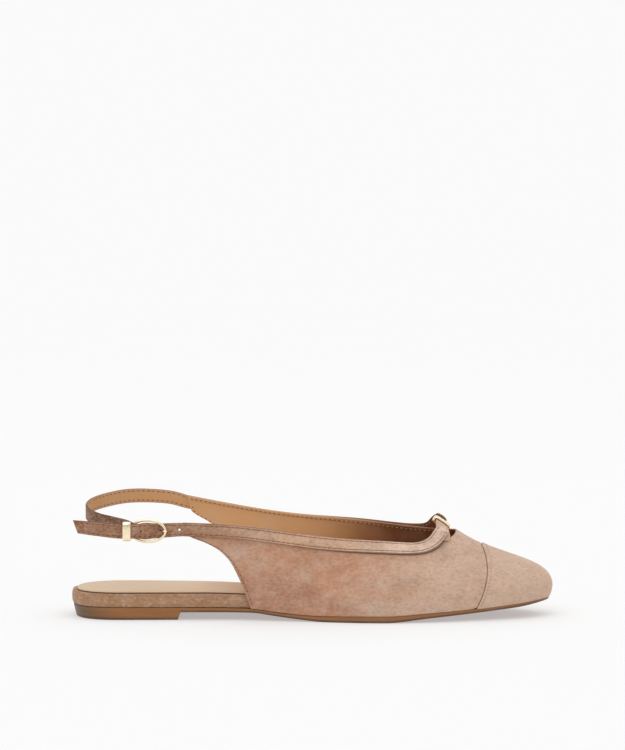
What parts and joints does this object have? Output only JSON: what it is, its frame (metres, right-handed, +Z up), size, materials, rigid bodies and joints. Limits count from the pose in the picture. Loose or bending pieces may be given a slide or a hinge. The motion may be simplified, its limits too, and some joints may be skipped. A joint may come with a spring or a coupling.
{
  "type": "sling back flat",
  "caption": "Women's flat shoe for the right foot with a closed toe, an open heel, a strap round the heel fastened by a buckle, and a strap across the throat.",
  "frame": {"origin": "on the floor, under the middle of the heel seat, at the heel's flat underside", "axes": "+X towards the toe, +Y towards the inner side of the foot, +Z up"},
  "size_m": [0.2542, 0.0784, 0.0641],
  "materials": {
    "unit_sole": "smooth moulded, satin, tan",
    "wrap_suede": "suede wrap round the footbed's edge",
    "sock_leather": "smooth matt lining leather, pale beige",
    "upper_suede": "goat suede, short nap with light and dark patches, tan leather lining inside",
    "cap_suede": "the same suede, brushed lighter",
    "band_suede": "folded suede binding with edge stitching, tan lining inside",
    "gold_metal": "polished pale gold plating"
  },
  "bodies": {
    "root": {"outsole": "unit_sole", "footbed": "wrap_suede", "sock_lining": "sock_leather", "upper": "upper_suede", "toe_cap": "cap_suede", "cross_strap": "band_suede", "lateral_band": "band_suede", "sling_band": "band_suede", "buckle_frame": "gold_metal", "buckle_prong": "gold_metal", "buckle_keeper": "gold_metal", "throat_keeper": "gold_metal"}
  },
  "joints": []
}
